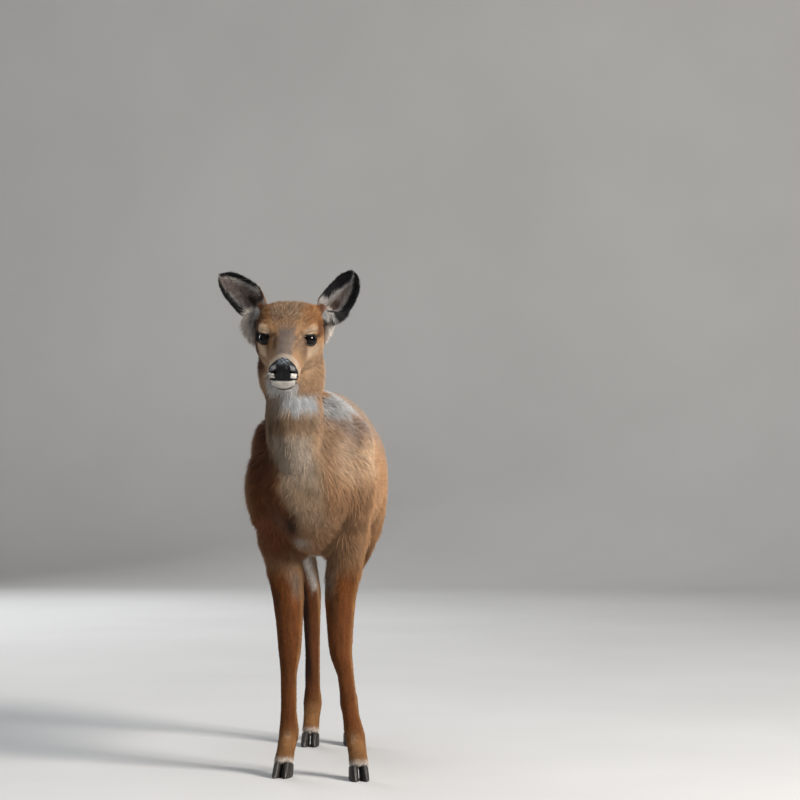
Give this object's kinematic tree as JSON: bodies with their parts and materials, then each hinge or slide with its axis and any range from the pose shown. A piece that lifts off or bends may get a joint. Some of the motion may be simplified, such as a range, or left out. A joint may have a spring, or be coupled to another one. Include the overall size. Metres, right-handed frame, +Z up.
{
  "type": "white-tailed deer model",
  "caption": "Life-size still model of a young antlerless white-tailed deer in winter coat, standing, head up and facing forward, ears spread",
  "frame": {"origin": "on the floor under the middle of the whole animal's box", "axes": "+Z up; the deer faces -Y; +X is its left side"},
  "size_m": [0.3232, 0.9912, 1.0251],
  "materials": {
    "coat_back": "short winter hair",
    "coat_neck": "short winter hair",
    "coat_throat": "short winter hair",
    "coat_face": "short winter hair",
    "coat_jaw": "short winter hair",
    "coat_leg": "short winter hair",
    "coat_foot": "short winter hair",
    "coat_tail": "short winter hair",
    "coat_ear": "short winter hair",
    "eye": "clear wet gloss",
    "nose": "damp, pebbled",
    "hoof": "worn horn, satin"
  },
  "bodies": {
    "root": {"barrel": "coat_back", "chest": "coat_back", "dewclaw_fore_left_left": "hoof", "dewclaw_fore_left_right": "hoof", "dewclaw_fore_right_left": "hoof", "dewclaw_fore_right_right": "hoof", "dewclaw_hind_left_left": "hoof", "dewclaw_hind_left_right": "hoof", "dewclaw_hind_right_left": "hoof", "dewclaw_hind_right_right": "hoof", "ear_left": "coat_ear", "ear_right": "coat_ear", "eye_left": "eye", "eye_right": "eye", "foreleg_left_cannon": "coat_leg", "foreleg_left_forearm": "coat_leg", "foreleg_left_pastern": "coat_foot", "foreleg_right_cannon": "coat_leg", "foreleg_right_forearm": "coat_leg", "foreleg_right_pastern": "coat_foot", "head": "coat_face", "hindleg_left_cannon": "coat_leg", "hindleg_left_gaskin": "coat_leg", "hindleg_left_pastern": "coat_foot", "hindleg_right_cannon": "coat_leg", "hindleg_right_gaskin": "coat_leg", "hindleg_right_pastern": "coat_foot", "hindquarters": "coat_back", "hoof_fore_left_left_claw": "hoof", "hoof_fore_left_right_claw": "hoof", "hoof_fore_right_left_claw": "hoof", "hoof_fore_right_right_claw": "hoof", "hoof_hind_left_left_claw": "hoof", "hoof_hind_left_right_claw": "hoof", "hoof_hind_right_left_claw": "hoof", "hoof_hind_right_right_claw": "hoof", "lower_jaw": "coat_jaw", "neck": "coat_neck", "nose": "nose", "tail": "coat_tail", "throat": "coat_throat"}
  },
  "joints": []
}
